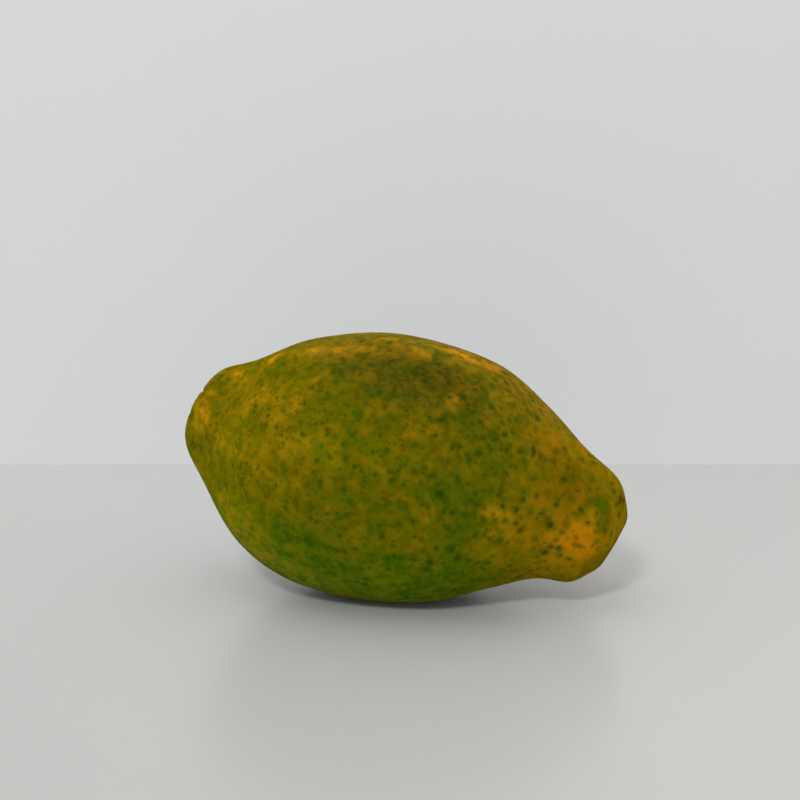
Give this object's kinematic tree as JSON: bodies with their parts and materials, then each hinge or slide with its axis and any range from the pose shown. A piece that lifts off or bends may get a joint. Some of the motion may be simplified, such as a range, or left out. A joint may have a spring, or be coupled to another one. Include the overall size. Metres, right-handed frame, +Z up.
{
  "type": "papaya",
  "caption": "Whole ripening papaya, pear-shaped with a blunt blossom end and a short neck, lying on its side on a small flat spot.",
  "frame": {"origin": "centre of the base of the bounding box, on the surface that the fruit lies on", "axes": "+X along the fruit's length towards the stem end, +Z up as it rests"},
  "size_m": [0.1512, 0.0908, 0.0896],
  "materials": {
    "papaya_skin": "thin waxy skin ripening from green to orange, with dark green and brown freckles"
  },
  "bodies": {
    "root": {"papaya": "papaya_skin"}
  },
  "joints": []
}
